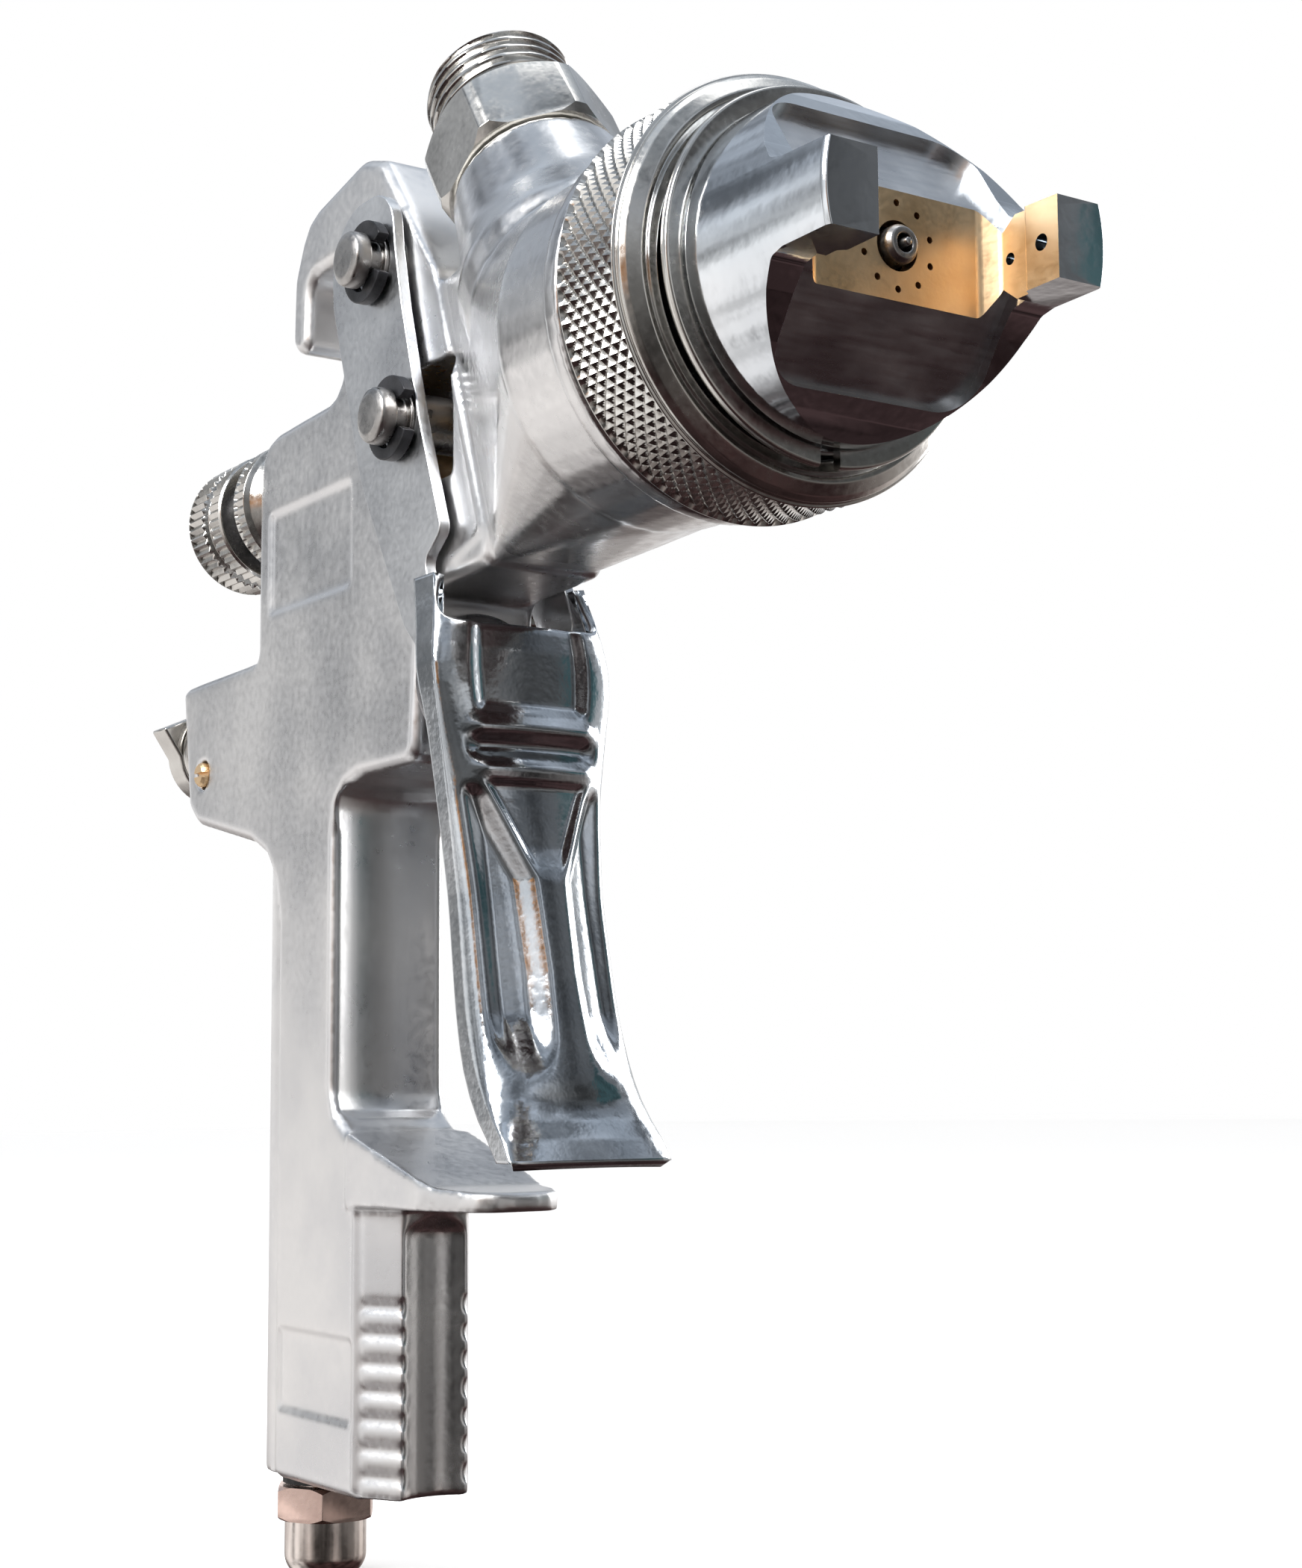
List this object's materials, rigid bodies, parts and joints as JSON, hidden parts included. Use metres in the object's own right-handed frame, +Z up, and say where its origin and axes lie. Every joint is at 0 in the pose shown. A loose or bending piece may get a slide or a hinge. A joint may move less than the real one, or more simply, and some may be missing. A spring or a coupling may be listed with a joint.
{
  "type": "gravity feed spray gun",
  "caption": "Pistol-shaped compressed-air spray gun with a trigger, three control knobs, a horned air cap and a threaded nipple on top for a paint cup.",
  "frame": {"origin": "top of the round throat of the hanging hook, where a peg carries the gun", "axes": "+X the way the gun sprays, +Y the gun's left side, +Z up"},
  "size_m": [0.1516, 0.0424, 0.1692],
  "materials": {
    "cast_aluminium": "satin cast, lightly polished near the head",
    "chrome": "bright",
    "nickel": "satin nickel plate",
    "steel": "machined",
    "brass": "machined",
    "spring_steel": "satin",
    "blackened_steel": "blackened",
    "copper_tint": "warm-tinted nickel plate",
    "rubber": "matte",
    "white_plastic": "matte"
  },
  "bodies": {
    "gun": {"gun_body": "cast_aluminium", "cup_nipple": "nickel", "cup_nipple_gasket": "white_plastic", "fluid_nozzle": "steel", "nozzle_gasket": "white_plastic", "air_distribution_ring": "brass", "cap_seal": "white_plastic", "needle_packing": "white_plastic", "packing_nut": "brass", "knob_sleeve": "nickel", "knob_locknut": "nickel", "fan_control_bush": "nickel", "trigger_pivot_pin": "steel", "pivot_pin_clip": "blackened_steel", "air_valve_nut": "spring_steel", "air_valve_stem_seal": "rubber", "air_valve_seat": "brass", "air_flow_set_screw": "brass", "air_inlet_fitting": "copper_tint", "inlet_washer": "rubber", "needle_spring": "spring_steel", "air_valve_spring": "spring_steel"},
    "retaining_ring": {"retaining_ring": "nickel"},
    "air_cap": {"air_cap": "chrome", "cap_snap_ring": "nickel"},
    "needle": {"fluid_needle": "steel", "needle_carrier": "brass"},
    "fluid_knob": {"fluid_knob": "nickel"},
    "fan_control": {"fan_control_stem": "steel", "fan_control_knob": "nickel"},
    "trigger": {"trigger": "chrome", "trigger_push_pin": "steel", "push_pin_clip": "blackened_steel"},
    "air_valve": {"air_valve_stem": "steel", "air_valve_plug": "rubber"},
    "air_flow": {"air_flow_valve": "nickel", "air_flow_knob": "nickel"}
  },
  "joints": [
    {"name": "trigger_pull", "type": "hinge", "parent": "gun", "child": "trigger", "pos_m": [0.0161, 0, -0.0048], "axis": [0, 1, 0], "range_deg": [0, 7], "stiffness_Nm_per_rad": 0.6, "springref_deg": -11.46},
    {"name": "needle_slide", "type": "slide", "parent": "gun", "child": "needle", "axis": [-1, 0, 0], "range_m": [0, 0.0025], "deforming": ["needle_spring"]},
    {"name": "air_valve_slide", "type": "slide", "parent": "gun", "child": "air_valve", "axis": [-1, 0, 0], "range_m": [0, 0.006], "deforming": ["air_valve_spring"]},
    {"name": "ring_turn", "type": "hinge", "parent": "gun", "child": "retaining_ring", "pos_m": [0.0713, 0, -0.024], "axis": [1, 0, 0], "range_deg": [0, 360]},
    {"name": "cap_turn", "type": "hinge", "parent": "gun", "child": "air_cap", "pos_m": [0.0713, 0, -0.024], "axis": [1, 0, 0], "range_deg": [-90, 90]},
    {"name": "fluid_knob_turn", "type": "hinge", "parent": "gun", "child": "fluid_knob", "pos_m": [-0.03, 0, -0.024], "axis": [1, 0, 0], "range_deg": [-360, 540]},
    {"name": "fan_control_turn", "type": "hinge", "parent": "gun", "child": "fan_control", "pos_m": [-0.0007, 0.01, -0.0368], "axis": [0, 1, 0], "range_deg": [0, 540]},
    {"name": "air_flow_turn", "type": "hinge", "parent": "gun", "child": "air_flow", "pos_m": [-0.045, 0, -0.0525], "axis": [1, 0, 0], "range_deg": [0, 270]}
  ],
  "couplings": [
    {"joint": "needle_slide", "follows": "trigger_pull", "m_per_rad": 0.0191},
    {"joint": "air_valve_slide", "follows": "trigger_pull", "m_per_rad": 0.0477}
  ]
}
